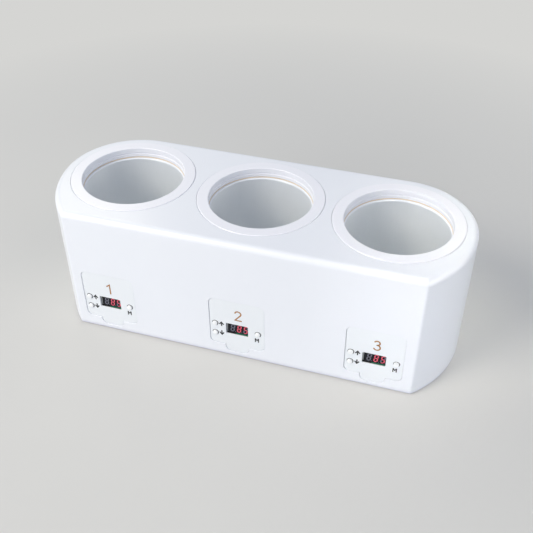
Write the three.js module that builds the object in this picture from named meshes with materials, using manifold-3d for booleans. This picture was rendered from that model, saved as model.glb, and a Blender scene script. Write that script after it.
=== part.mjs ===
// A wax heater with three heated wells in one white moulded housing. Each well has a drop-in
// collar, an aluminium pot with its heating band, and its own control panel on the front.
// Millimetres, +Z up. The front faces -Y, and +X is to the right as seen from the front.
// The origin is on the ground, under the middle of the whole heater.

import * as THREE from "three";
import { mergeVertices } from "three/addons/utils/BufferGeometryUtils.js";
import Module from "manifold-3d";

const wasm = await Module();
wasm.setup();

// Fits: a sliding or glued fit all round, the gap under a seated face, and how far a cut runs past
const fitGap = 0.3;
const seatGap = 0.2;
const overrun = 1;

// Points closer than this are one point where a solid is made
const mergeTolerance = 1e-4;

// Facets round large, middling and small circles, and steps along the curves of the outline
const facetsLarge = 32;
const facetsMiddle = 12;
const facetsSmall = 8;
const filletSteps = 4;
const cornerSteps = 2;
const endSteps = 8;
const flankSteps = 4;
const bendSteps = 3;

// Housing: rims round the collars, rounding of its plan outline, heights above the ground, walls
const stations = ["left", "middle", "right"];
const wellSpacing = 10;
const frontRoom = 29.6;
const rearRim = 12.1;
const flankBulge = 37.4;
const cornerRadius = 4;
const leastRadius = 0.8;
const housingBase = 1.5;
const skirtBase = 0.4;
const housingTop = 148.1;
const topFillet = 6.5;
const lowerChamfer = 2;
const wall = 3.5;
const topWall = 3.2;
const wellWall = 2.4;
const ledgeThickness = 1.6;
const ledgeInset = 1.5;

// Collars: a flange that lies in the housing's rebate, over a tube that lines the well's mouth
const collarBore = 53.3;
const collarLip = 11.7;
const collarProud = 0.6;
const collarFlange = 1.8;
const collarTubeWall = 3.2;
const collarDepth = 10.6;
const collarMouthFillet = 0.8;
const collarRimFillet = 0.6;
const collarRimSteps = 2;

// Gaskets, between a collar's lower end and the housing's ledge
const gasketThickness = 0.8;
const gasketInset = 0.4;

// Pots
const potInset = 1.1;
const potWall = 1.6;
const potFloorHeight = 31;
const potFloor = 2;
const potLip = 3.2;
const potFlange = 1.6;
const potBend = 8;

// Heating bands, round the pots
const bandThickness = 1.8;
const bandHeight = 60;
const bandDrop = 18;

// Temperature sensors, under the pots' floors
const sensorRadius = 8;
const sensorHeight = 5;
const sensorEarLength = 24;
const sensorEarWidth = 9;
const sensorEarThickness = 1;
const sensorBladeWidth = 4;
const sensorBladeThickness = 0.8;
const sensorBladeLength = 7;
const sensorBladeSpacing = 8;

// Panel plates: a rounded square with a tab below, sunk in a pocket of the front face. The
// panels lie a little further apart than the wells, and a little to the left of them.
const panelSpread = 1.5;
const panelShift = -0.5;
const plateWidth = 58;
const plateHeight = 60;
const plateBottom = 16;
const plateCorner = 6;
const plateThickness = 1.4;
const plateRecess = 0.6;
const plateLip = 1.1;
const tabWidth = 25;
const tabDrop = 8.5;
const tabCorner = 6.5;
const windowWidth = 23.6;
const windowHeight = 14.2;
const windowRise = 22.3;

// Buttons: places about the plate's sides and lower edge, cap, captive flange and travel
const leftButtonsInset = 5.5;
const rightButtonInset = 6.8;
const upButtonRise = 26.7;
const downButtonRise = 13.7;
const modeButtonRise = 22.3;
const buttonRadius = 2.7;
const buttonClearance = 0.7;
const buttonProud = 1.4;
const buttonDome = 0.5;
const buttonFlangeRadius = 4;
const buttonFlange = 1;
const buttonTravel = 0.5;

// Displays, boards, switches and relays, stacked behind each plate
const displayHeight = 14.2;
const displayDepth = 7.2;
const displaySetback = 0.8;
const displayLift = 1.1;
const boardMargin = 1.5;
const boardHeight = 42;
const boardThickness = 1.6;
const switchSize = 6;
const switchDepth = 3.5;
const relayWidth = 10.5;
const relayHeight = 18.5;
const relayDepth = 15;

// Posts that carry a board, with a stake through it that ends in a melted head
const boardPostRadius = 2.6;
const boardPostInset = 3.6;
const stakeRadius = 1.2;
const stakeHeadRadius = 2.1;
const stakeHeadThickness = 1;

// Base plate, its pot supports and its vents
const baseThickness = 3;
const supportRadius = 4.5;
const supportsPerPot = 4;
const ventLength = 40;
const ventWidth = 3.2;
const ventPitch = 7;
const ventsPerPot = 5;

// Screws through the base plate, and the bosses that they run up into
const bossRadius = 6;
const bossHeight = 30;
const bossBite = 0.8;
const bossClearance = 1.5;
const screwRadius = 1.3;
const screwLength = 16;
const screwHeadRadius = 3;
const screwHeadHeight = 1.8;

// Rubber feet, pressed into recesses of the base plate
const footRadius = 8;
const footRecess = 1.2;
const footChamfer = 0.8;
const frontFootInset = 20;
const frontFootOffset = 18;
const rearFootInset = 25;
const rearFootTurn = Math.PI / 3;

// Mains inlet in the rear wall, and its three blades
const inletHeight = 34;
const inletFlangeMargin = 1.8;
const inletFlangeThickness = 2;
const inletWall = 1.5;
const inletCavityWidth = 24.4;
const inletCavityHeight = 16.6;
const inletCavityDepth = 15;
const inletBackWall = 3;
const inletKeyCut = 4;
const bladeWidth = 2;
const bladeHeight = 4;
const bladeReach = 9.5;
const bladeTail = 6;
const bladeSpacing = 14;
const bladeDrop = 2;

// Wiring: one trunk on the base plate, a riser to each board and a lead up to the inlet
const trunkRadius = 2.5;
const trunkDepth = 22;
const riserOffset = -12;
const riserHeight = 24;
const leadInset = 39;

// Radii and the plan, which follow from the sizes above
const collarRadius = collarBore + collarLip;
const collarTubeRadius = collarBore + collarTubeWall;
const gasketBore = collarBore - gasketInset;
const ledgeRadius = collarBore - ledgeInset;
const potBore = collarBore - potInset;
const potRadius = potBore + potWall;
const potFlangeRadius = potRadius + potLip;
const supportCircle = potRadius - potBend - supportRadius;
const wellPitch = 2 * collarRadius + wellSpacing;
const endX = (wellPitch * (stations.length - 1)) / 2;
const panelPitch = wellPitch + panelSpread;
const endPanelX = (panelPitch * (stations.length - 1)) / 2;
const backRadius = collarRadius + rearRim;
const flankRadius = backRadius + flankBulge;
const frontReach = potRadius + frontRoom;

// Heights
const collarTop = housingTop + collarProud;
const collarBottom = collarTop - collarDepth;
const rebateFloor = collarTop - collarFlange - seatGap;
const gasketTop = collarBottom - seatGap;
const gasketBottom = gasketTop - gasketThickness;
const ledgeTop = gasketBottom - seatGap;
const ledgeBottom = ledgeTop - ledgeThickness;
const potTop = ledgeBottom - seatGap;
const potBottom = potFloorHeight - potFloor;
const bandTop = potTop - bandDrop;
const baseTop = housingBase + baseThickness;
const windowCentre = plateBottom + windowRise;

// Depths behind the front face
const plateBack = plateRecess + plateThickness;
const pocketDepth = plateBack + seatGap;
const displayFront = plateBack + displaySetback;
const boardFront = displayFront + displayDepth + seatGap;
const boardBack = boardFront + boardThickness;
const switchFront = boardFront - seatGap - switchDepth;
const buttonFront = plateRecess - buttonProud;
const buttonBack = switchFront - seatGap - buttonTravel;

// Widths of what fits in the window, the pocket and the rear wall
const displayWidth = windowWidth - 2 * seatGap;
const boardWidth = plateWidth - 2 * boardMargin;
const leftButtonsX = leftButtonsInset - plateWidth / 2;
const rightButtonX = plateWidth / 2 - rightButtonInset;
const inletX = wellPitch / 2;
const inletBodyWidth = inletCavityWidth + 2 * inletWall;
const inletBodyHeight = inletCavityHeight + 2 * inletWall;

// The rear end of the mains inlet, and where the wells' line lies so that the whole is centred
const rearReach = backRadius + inletFlangeThickness;
const wellLine = (frontReach - buttonFront - rearReach) / 2;

const buttons = {
  up: { x: leftButtonsX, z: plateBottom + upButtonRise },
  down: { x: leftButtonsX, z: plateBottom + downButtonRise },
  mode: { x: rightButtonX, z: plateBottom + modeButtonRise },
};
const sides = [-1, 1];
const corners = ["front_left", "rear_left", "front_right", "rear_right"];

// Materials
function plastic(color, roughness = 0.35) {
  return new THREE.MeshStandardMaterial({ color, roughness, metalness: 0 });
}
function metal(color, roughness = 0.4) {
  return new THREE.MeshStandardMaterial({ color, roughness, metalness: 1 });
}
const materials = {
  housing: plastic("#f1f1f8", 0.3),
  base: plastic("#e6e7ee", 0.5),
  collar: plastic("#f3f3fa", 0.28),
  gasket: plastic("#b08a5e", 0.8),
  pot: metal("#b4b8bc", 0.45),
  band: plastic("#b5482f", 0.7),
  sensor: metal("#c9c9c6", 0.35),
  plate: plastic("#f4f5f7", 0.4),
  button: plastic("#ffffff", 0.3),
  display: plastic("#b9bbbd", 0.4),
  board: plastic("#12603f", 0.5),
  switchBody: plastic("#1d1e20", 0.5),
  relay: plastic("#2557a8", 0.45),
  rubber: plastic("#26262a", 0.9),
  screw: metal("#8f9194", 0.35),
  inlet: plastic("#17181a", 0.45),
  blade: metal("#cfc9b8", 0.3),
  wire: plastic("#2b2c30", 0.6),
};

// Solids: a three.js geometry as a manifold-3d solid, and back
function solid(geometry) {
  const bare = geometry.index ? geometry.toNonIndexed() : geometry.clone();
  bare.deleteAttribute("normal");
  bare.deleteAttribute("uv");
  const merged = mergeVertices(bare, mergeTolerance);
  return new wasm.Manifold(
    new wasm.Mesh({
      numProp: 3,
      vertProperties: new Float32Array(merged.attributes.position.array),
      triVerts: new Uint32Array(merged.index.array),
    }),
  );
}
function geometryOf(shape) {
  const mesh = shape.getMesh();
  const geometry = new THREE.BufferGeometry();
  geometry.setAttribute("position", new THREE.BufferAttribute(mesh.vertProperties, mesh.numProp));
  geometry.setIndex(new THREE.BufferAttribute(mesh.triVerts, 1));
  const faceted = geometry.toNonIndexed();
  faceted.computeVertexNormals();
  return faceted;
}
function join(shapes) {
  return shapes.reduce((whole, next) => whole.add(next));
}
function cut(shape, cutters) {
  return cutters.reduce((whole, next) => whole.subtract(next), shape);
}

// Plain forms, each between two heights or, where it lies along Y, between two depths
function block(x, width, yLow, yHigh, zLow, zHigh) {
  const geometry = new THREE.BoxGeometry(width, yHigh - yLow, zHigh - zLow);
  return solid(geometry.translate(x, (yLow + yHigh) / 2, (zLow + zHigh) / 2));
}
function post(x, y, zLow, zHigh, radius, facets = facetsMiddle) {
  const geometry = new THREE.CylinderGeometry(radius, radius, zHigh - zLow, facets);
  geometry.rotateX(Math.PI / 2);
  return solid(geometry.translate(x, y, (zLow + zHigh) / 2));
}
function rod(x, z, yFront, yBack, radius, facets = facetsSmall) {
  const geometry = new THREE.CylinderGeometry(radius, radius, yBack - yFront, facets);
  return solid(geometry.translate(x, (yFront + yBack) / 2, z));
}
function slab(shape, yFront, yBack, x = 0) {
  const depth = yBack - yFront;
  const settings = { depth, bevelEnabled: false, curveSegments: cornerSteps };
  const geometry = new THREE.ExtrudeGeometry(shape, settings);
  geometry.rotateX(Math.PI / 2);
  return solid(geometry.translate(x, yBack, 0));
}

// A ring or cup turned about Z. The profile is [radius, height] pairs, anticlockwise.
function lathe(profile, facets) {
  const points = profile.map(([radius, height]) => new THREE.Vector2(radius, height));
  if (profile[0][0] > 0) points.push(points[0].clone());
  return new THREE.LatheGeometry(points, facets);
}
function turned(profile, facets = facetsLarge) {
  return solid(lathe(profile, facets).rotateX(Math.PI / 2));
}
function arc(x, y, radius, from, to, steps) {
  const turns = Array.from({ length: steps + 1 }, (_, i) => from + ((to - from) * i) / steps);
  return turns.map((turn) => [x + radius * Math.cos(turn), y + radius * Math.sin(turn)]);
}

// The housing's plan outline, moved inwards by inset: an anticlockwise ring of points about the
// wells' line, whose count is the same at every inset
function outline(inset) {
  const corner = Math.max(cornerRadius - inset, leastRadius);
  const flankX = endX + backRadius - flankRadius;
  const cornerY = corner + inset - frontReach;
  const cornerX = flankX + Math.sqrt((flankRadius - inset - corner) ** 2 - cornerY ** 2);
  const meeting = Math.atan2(cornerY, cornerX - flankX);
  const right = [
    ...arc(cornerX, cornerY, corner, -Math.PI / 2, meeting, cornerSteps),
    ...arc(flankX, 0, flankRadius - inset, meeting, 0, flankSteps).slice(1),
    ...arc(endX, 0, backRadius - inset, 0, Math.PI / 2, endSteps).slice(1),
  ];
  const left = right.map(([x, y]) => [-x, y]).reverse();
  return [...right, ...left].map(([x, y]) => new THREE.Vector2(x, y));
}

// A closed solid through rings of points at rising heights
function loft(rings) {
  const count = rings[0].points.length;
  const positions = rings.flatMap(({ z, points }) => points.flatMap((p) => [p.x, p.y, z]));
  const faces = [];
  for (let ring = 0; ring + 1 < rings.length; ring++) {
    for (let i = 0; i < count; i++) {
      const here = ring * count + i;
      const next = ring * count + ((i + 1) % count);
      faces.push(here, next, next + count, here, next + count, here + count);
    }
  }
  const top = (rings.length - 1) * count;
  for (const [a, b, c] of THREE.ShapeUtils.triangulateShape(rings[0].points, [])) {
    faces.push(a, c, b, top + a, top + b, top + c);
  }
  const geometry = new THREE.BufferGeometry();
  geometry.setAttribute("position", new THREE.Float32BufferAttribute(positions, 3));
  geometry.setIndex(faces);
  return solid(geometry);
}

// A block of the housing's outline, with its upper edge rounded and its lower edge chamfered
function outlineBlock(inset, zLow, zHigh, fillet, chamfer) {
  const rings = [{ z: zLow, points: outline(inset + chamfer) }];
  if (chamfer > 0) rings.push({ z: zLow + chamfer, points: outline(inset) });
  for (const [run, rise] of arc(0, 0, fillet, 0, Math.PI / 2, filletSteps)) {
    rings.push({ z: zHigh - fillet + rise, points: outline(inset + fillet - run) });
  }
  return loft(rings);
}

// The plate's front view, grown outwards by grow: a rounded square with a rounded tab below
function plateShape(grow) {
  const half = plateWidth / 2 + grow;
  const low = plateBottom - grow;
  const high = plateBottom + plateHeight + grow;
  const corner = plateCorner + grow;
  const tabHalf = tabWidth / 2 + grow;
  const tabLow = plateBottom - tabDrop - grow;
  const tabRound = tabCorner + grow;
  const shape = new THREE.Shape();
  shape.moveTo(tabHalf, low);
  shape.absarc(half - corner, low + corner, corner, -Math.PI / 2, 0);
  shape.absarc(half - corner, high - corner, corner, 0, Math.PI / 2);
  shape.absarc(corner - half, high - corner, corner, Math.PI / 2, Math.PI);
  shape.absarc(corner - half, low + corner, corner, Math.PI, 1.5 * Math.PI);
  shape.lineTo(-tabHalf, low);
  shape.absarc(tabRound - tabHalf, tabLow + tabRound, tabRound, Math.PI, 1.5 * Math.PI);
  shape.absarc(tabHalf - tabRound, tabLow + tabRound, tabRound, 1.5 * Math.PI, 2 * Math.PI);
  return shape;
}
function atDepth(depth) {
  return depth - frontReach;
}
function wellX(index) {
  return index * wellPitch - endX;
}
function panelX(index) {
  return index * panelPitch - endPanelX + panelShift;
}

// Places of a board's four posts, and of the screws and feet in the order of their corners
function boardPosts() {
  const across = boardWidth / 2 - boardPostInset;
  const low = plateBottom + boardPostInset;
  const high = plateBottom + boardHeight - boardPostInset;
  return sides.flatMap((side) => [low, high].map((z) => ({ x: side * across, z })));
}
function screwPlaces() {
  const reach = bossRadius - bossBite + wall;
  const rear = (backRadius - reach) * Math.SQRT1_2;
  const front = endPanelX + Math.abs(panelShift) + boardWidth / 2 + bossClearance + bossRadius;
  return sides.flatMap((side) => [
    { x: side * front, y: reach - frontReach },
    { x: side * (endX + rear), y: rear },
  ]);
}
function footPlaces() {
  const reach = backRadius - rearFootInset;
  return sides.flatMap((side) => [
    { x: side * (endX + frontFootOffset), y: frontFootInset - frontReach },
    { x: side * (endX + reach * Math.cos(rearFootTurn)), y: reach * Math.sin(rearFootTurn) },
  ]);
}

// Housing parts at one well, and at one panel: the lined well, the pocket and its board posts
function wellLining(x) {
  const radius = collarTubeRadius + fitGap + wellWall;
  return post(x, 0, ledgeBottom, housingTop - topWall / 2, radius, facetsLarge);
}
function wellCuts(x) {
  return [
    post(x, 0, rebateFloor, collarTop + overrun, collarRadius + fitGap, facetsLarge),
    post(x, 0, ledgeTop, collarTop, collarTubeRadius + fitGap, facetsLarge),
    post(x, 0, ledgeBottom - overrun, collarTop, ledgeRadius, facetsLarge),
  ];
}
function panelCuts(x) {
  const low = plateBottom + 2 * boardPostInset + plateLip;
  const high = plateBottom + boardHeight - 2 * boardPostInset;
  const width = plateWidth - 2 * plateLip;
  return [
    slab(plateShape(fitGap), atDepth(-overrun), atDepth(pocketDepth), x),
    block(x, width, atDepth(0), atDepth(wall + overrun), low, high),
  ];
}
function boardMounts(x) {
  return boardPosts().flatMap((place) => {
    const postX = x + place.x;
    const headFront = boardBack + seatGap;
    return [
      rod(postX, place.z, atDepth(wall - bossBite), atDepth(boardFront - seatGap), boardPostRadius),
      rod(postX, place.z, atDepth(wall), atDepth(headFront + stakeHeadThickness), stakeRadius),
      rod(postX, place.z, atDepth(headFront), atDepth(headFront + stakeHeadThickness), stakeHeadRadius),
    ];
  });
}

function inletHole() {
  const width = inletBodyWidth + 2 * fitGap;
  const tall = inletBodyHeight / 2 + fitGap;
  const yLow = backRadius - wall - overrun;
  return block(inletX, width, yLow, backRadius + overrun, inletHeight - tall, inletHeight + tall);
}
function makeHousing() {
  const outside = outlineBlock(0, skirtBase, housingTop, topFillet, lowerChamfer);
  const innerFillet = Math.max(topFillet - wall, leastRadius);
  const inside = outlineBlock(wall, skirtBase - overrun, housingTop - topWall, innerFillet, 0);
  const wells = stations.map((_, index) => wellX(index));
  const panels = stations.map((_, index) => panelX(index));
  const bosses = screwPlaces().map(({ x, y }) => {
    return post(x, y, baseTop + seatGap, baseTop + bossHeight, bossRadius, facetsSmall);
  });
  const pilots = screwPlaces().map(({ x, y }) => {
    const zHigh = housingBase + screwLength + overrun;
    return post(x, y, baseTop - overrun, zHigh, screwRadius + fitGap, facetsSmall);
  });
  const additions = [...wells.map(wellLining), ...panels.flatMap(boardMounts), ...bosses];
  const shell = join([cut(outside, [inside]), ...additions]);
  const cuts = [...wells.flatMap(wellCuts), ...panels.flatMap(panelCuts), ...pilots, inletHole()];
  return cut(shell, cuts);
}

// The base plate closes the housing from below, and its supports carry the pots
function potSupports(x) {
  const turns = Array.from({ length: supportsPerPot }, (_, i) => (2 * Math.PI * (i + 0.5)) / supportsPerPot);
  return turns.map((turn) => {
    const supportX = x + supportCircle * Math.cos(turn);
    const supportY = supportCircle * Math.sin(turn);
    return post(supportX, supportY, baseTop - seatGap, potBottom - seatGap, supportRadius, facetsSmall);
  });
}
function vents(x) {
  const rows = Array.from({ length: ventsPerPot }, (_, i) => (i - (ventsPerPot - 1) / 2) * ventPitch);
  const half = ventWidth / 2;
  return rows.map((y) => {
    return block(x, ventLength, y - half, y + half, housingBase - overrun, baseTop + overrun);
  });
}
function makeBasePlate() {
  const plate = outlineBlock(wall + fitGap, housingBase, baseTop, leastRadius, 0);
  const wells = stations.map((_, index) => wellX(index));
  const below = housingBase - overrun;
  const screwHoles = screwPlaces().flatMap(({ x, y }) => [
    post(x, y, below, baseTop + overrun, screwRadius + fitGap, facetsSmall),
    post(x, y, below, housingBase + screwHeadHeight + seatGap, screwHeadRadius + fitGap),
  ]);
  const recesses = footPlaces().map(({ x, y }) => {
    return post(x, y, below, housingBase + footRecess, footRadius + fitGap);
  });
  const body = join([plate, ...wells.flatMap(potSupports)]);
  return cut(body, [...wells.flatMap(vents), ...screwHoles, ...recesses]);
}
function makeScrew() {
  const head = housingBase + screwHeadHeight;
  return turned(
    [
      [0, housingBase],
      [screwHeadRadius, housingBase],
      [screwHeadRadius, housingBase + screwHeadHeight / 2],
      [screwRadius, head],
      [screwRadius, housingBase + screwLength - screwRadius],
      [0, housingBase + screwLength],
    ],
    facetsSmall,
  );
}
function makeFoot() {
  const top = housingBase + footRecess - seatGap;
  return turned(
    [
      [0, 0],
      [footRadius - footChamfer, 0],
      [footRadius, footChamfer],
      [footRadius, top],
      [0, top],
    ],
    facetsMiddle,
  );
}

// Pieces of a well, about its own axis
function makeCollar() {
  const under = collarTop - collarFlange;
  const rim = collarRimFillet;
  const mouth = collarMouthFillet;
  return turned([
    [collarBore, collarBottom],
    [collarTubeRadius, collarBottom],
    [collarTubeRadius, under],
    [collarRadius, under],
    ...arc(collarRadius - rim, collarTop - rim, rim, 0, Math.PI / 2, collarRimSteps),
    ...arc(collarBore + mouth, collarTop - mouth, mouth, Math.PI / 2, Math.PI, bendSteps),
  ]);
}
function makeGasket() {
  return turned([
    [gasketBore, gasketBottom],
    [collarTubeRadius, gasketBottom],
    [collarTubeRadius, gasketTop],
    [gasketBore, gasketTop],
  ]);
}
function makePot() {
  const innerBend = potBend - potWall;
  return turned([
    [0, potBottom],
    ...arc(potRadius - potBend, potBottom + potBend, potBend, -Math.PI / 2, 0, bendSteps),
    [potRadius, potTop - potFlange],
    [potFlangeRadius, potTop - potFlange],
    [potFlangeRadius, potTop],
    [potBore, potTop],
    ...arc(potBore - innerBend, potFloorHeight + innerBend, innerBend, 0, -Math.PI / 2, bendSteps),
    [0, potFloorHeight],
  ]);
}
function makeBand() {
  const inner = potRadius + fitGap;
  return turned([
    [inner, bandTop - bandHeight],
    [inner + bandThickness, bandTop - bandHeight],
    [inner + bandThickness, bandTop],
    [inner, bandTop],
  ]);
}
function makeSensor() {
  const top = potBottom - fitGap;
  const bottom = top - sensorEarThickness - sensorHeight;
  const body = post(0, 0, bottom, top, sensorRadius);
  const half = sensorEarWidth / 2;
  const ears = block(0, sensorEarLength, -half, half, top - sensorEarThickness, top);
  const blades = sides.map((side) => {
    const y = (side * sensorBladeSpacing) / 2;
    const thick = sensorBladeThickness / 2;
    return block(0, sensorBladeWidth, y - thick, y + thick, bottom - sensorBladeLength, bottom + seatGap);
  });
  return join([body, ears, ...blades]);
}

// Pieces of a panel, about its own middle
function makePlate() {
  const sheet = slab(plateShape(0), atDepth(plateRecess), atDepth(plateBack));
  const low = windowCentre - windowHeight / 2;
  const high = windowCentre + windowHeight / 2;
  const holes = Object.values(buttons).map(({ x, z }) => {
    return rod(x, z, atDepth(0), atDepth(pocketDepth), buttonRadius + buttonClearance, facetsMiddle);
  });
  return cut(sheet, [...holes, block(0, windowWidth, atDepth(0), atDepth(pocketDepth), low, high)]);
}
function makeDisplay() {
  const front = atDepth(displayFront);
  const low = windowCentre + displayLift - displayHeight / 2;
  return block(0, displayWidth, front, front + displayDepth, low, low + displayHeight);
}
function makeBoard() {
  const top = plateBottom + boardHeight;
  const sheet = block(0, boardWidth, atDepth(boardFront), atDepth(boardBack), plateBottom, top);
  const holes = boardPosts().map(({ x, z }) => {
    return rod(x, z, atDepth(boardFront - overrun), atDepth(boardBack + overrun), stakeRadius + fitGap);
  });
  return cut(sheet, holes);
}
function makeSwitch({ x, z }) {
  const half = switchSize / 2;
  return block(x, switchSize, atDepth(switchFront), atDepth(boardFront - seatGap), z - half, z + half);
}
function makeButton({ x, z }) {
  const length = buttonBack - buttonFront;
  const flangeTop = buttonBack - pocketDepth;
  const profile = [
    [0, 0],
    [buttonRadius, 0],
    [buttonRadius, flangeTop - buttonFlange],
    [buttonFlangeRadius, flangeTop - buttonFlange],
    [buttonFlangeRadius, flangeTop],
    [buttonRadius, flangeTop],
    [buttonRadius, length - buttonDome],
    [buttonRadius - buttonDome, length - buttonDome / 4],
    [0, length],
  ];
  const geometry = lathe(profile, facetsMiddle).rotateX(Math.PI);
  return solid(geometry.translate(x, atDepth(buttonBack), z));
}
function makeRelay() {
  const front = atDepth(boardBack + seatGap);
  const low = windowCentre - relayHeight / 2;
  return block(rightButtonX, relayWidth, front, front + relayDepth, low, low + relayHeight);
}

// The mains inlet, about its own axis: a flanged body whose cavity has two cut corners
function cavityShape() {
  const half = inletCavityWidth / 2;
  const tall = inletCavityHeight / 2;
  const shape = new THREE.Shape();
  shape.moveTo(-half, -tall);
  shape.lineTo(half, -tall);
  shape.lineTo(half, tall - inletKeyCut);
  shape.lineTo(half - inletKeyCut, tall);
  shape.lineTo(inletKeyCut - half, tall);
  shape.lineTo(-half, tall - inletKeyCut);
  return shape;
}
function bladePlaces() {
  return {
    live: { x: -bladeSpacing / 2, z: -bladeDrop },
    earth: { x: 0, z: bladeDrop },
    neutral: { x: bladeSpacing / 2, z: -bladeDrop },
  };
}
function makeInlet() {
  const inner = rearReach - inletCavityDepth;
  const back = inner - inletBackWall;
  const flangeWidth = inletBodyWidth + 2 * inletFlangeMargin;
  const flangeHalf = inletBodyHeight / 2 + inletFlangeMargin;
  const bodyHalf = inletBodyHeight / 2;
  const flange = block(0, flangeWidth, backRadius + seatGap, rearReach, -flangeHalf, flangeHalf);
  const body = block(0, inletBodyWidth, back, backRadius + 2 * seatGap, -bodyHalf, bodyHalf);
  const cavity = slab(cavityShape(), inner, rearReach + overrun);
  const slots = Object.values(bladePlaces()).map(({ x, z }) => {
    const tall = bladeHeight / 2 + fitGap;
    return block(x, bladeWidth + 2 * fitGap, back - overrun, inner + overrun, z - tall, z + tall);
  });
  return cut(join([flange, body]), [cavity, ...slots]);
}
function makeBlade({ x, z }) {
  const inner = rearReach - inletCavityDepth;
  const half = bladeHeight / 2;
  return block(x, bladeWidth, inner - inletBackWall - bladeTail, inner + bladeReach, z - half, z + half);
}

// A round cable through points along straight runs, with a ball at each bend
function cable(corners, radius) {
  const points = corners.map((place) => new THREE.Vector3(...place));
  const runs = points.slice(1).map((end, i) => {
    const run = new THREE.Vector3().subVectors(end, points[i]);
    const geometry = new THREE.CylinderGeometry(radius, radius, run.length(), facetsSmall);
    const axis = new THREE.Vector3(0, 1, 0);
    geometry.applyQuaternion(new THREE.Quaternion().setFromUnitVectors(axis, run.clone().normalize()));
    const middle = points[i].clone().addScaledVector(run, 0.5);
    return solid(geometry.translate(middle.x, middle.y, middle.z));
  });
  const bends = points.slice(1, -1).map((p) => {
    const geometry = new THREE.SphereGeometry(radius, facetsSmall, facetsSmall / 2);
    return solid(geometry.translate(p.x, p.y, p.z));
  });
  return join([...runs, ...bends]);
}
function makeWiring() {
  const z = baseTop + seatGap + trunkRadius;
  const y = atDepth(trunkDepth);
  const risers = stations.map((_, index) => panelX(index) + riserOffset);
  const leadY = backRadius - leadInset;
  const tailEnd = rearReach - inletCavityDepth - inletBackWall - bladeTail - fitGap;
  const riserEnd = atDepth(boardBack + fitGap);
  const trunk = [[risers[0], y, z], [risers[risers.length - 1], y, z]];
  const rise = [[inletX, leadY, z], [inletX, leadY, inletHeight]];
  const lead = [[inletX, y, z], ...rise, [inletX, tailEnd, inletHeight]];
  const routes = risers.map((x) => [[x, y, z], [x, y, riserHeight], [x, riserEnd, riserHeight]]);
  return join([trunk, lead, ...routes].map((route) => cable(route, trunkRadius)));
}

// Assembly
function piece(name, shape, material) {
  const mesh = new THREE.Mesh(geometryOf(shape), material);
  mesh.name = name;
  return mesh;
}
function makeWell(side, index) {
  const group = new THREE.Group();
  group.position.x = wellX(index);
  group.add(
    piece(`${side}_collar`, makeCollar(), materials.collar),
    piece(`${side}_gasket`, makeGasket(), materials.gasket),
    piece(`${side}_pot`, makePot(), materials.pot),
    piece(`${side}_heating_band`, makeBand(), materials.band),
    piece(`${side}_temperature_sensor`, makeSensor(), materials.sensor),
  );
  return group;
}
function makePanel(side, index) {
  const group = new THREE.Group();
  group.position.x = panelX(index);
  group.add(
    piece(`${side}_panel_plate`, makePlate(), materials.plate),
    piece(`${side}_display`, makeDisplay(), materials.display),
    piece(`${side}_control_board`, makeBoard(), materials.board),
    piece(`${side}_relay`, makeRelay(), materials.relay),
  );
  for (const [use, place] of Object.entries(buttons)) {
    group.add(piece(`${side}_${use}_button`, makeButton(place), materials.button));
    group.add(piece(`${side}_${use}_switch`, makeSwitch(place), materials.switchBody));
  }
  return group;
}
function placed(mesh, x, y) {
  mesh.position.set(x, y, 0);
  return mesh;
}
function makeInletGroup() {
  const group = new THREE.Group();
  group.position.set(inletX, 0, inletHeight);
  group.add(piece("mains_inlet", makeInlet(), materials.inlet));
  for (const [pole, place] of Object.entries(bladePlaces())) {
    group.add(piece(`${pole}_blade`, makeBlade(place), materials.blade));
  }
  return group;
}

const assembly = new THREE.Group();
assembly.position.y = wellLine;
assembly.add(piece("housing", makeHousing(), materials.housing));
assembly.add(piece("base_plate", makeBasePlate(), materials.base));
assembly.add(...stations.map(makeWell), ...stations.map(makePanel));
assembly.add(makeInletGroup());
assembly.add(piece("wiring", makeWiring(), materials.wire));
screwPlaces().forEach(({ x, y }, i) => {
  assembly.add(placed(piece(`${corners[i]}_screw`, makeScrew(), materials.screw), x, y));
});
footPlaces().forEach(({ x, y }, i) => {
  assembly.add(placed(piece(`${corners[i]}_foot`, makeFoot(), materials.rubber), x, y));
});

const heater = new THREE.Group();
heater.add(assembly);

export default heater;
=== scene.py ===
"""Looks of the wax heater with three wells, built around its CAD model.

Sizes are in millimetres, in the CAD model's frame: +X to the right, +Y to the back, +Z up.
"""

import math

import bmesh
import bpy
from mathutils import Matrix, Vector
from mathutils.geometry import tessellate_polygon


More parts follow.
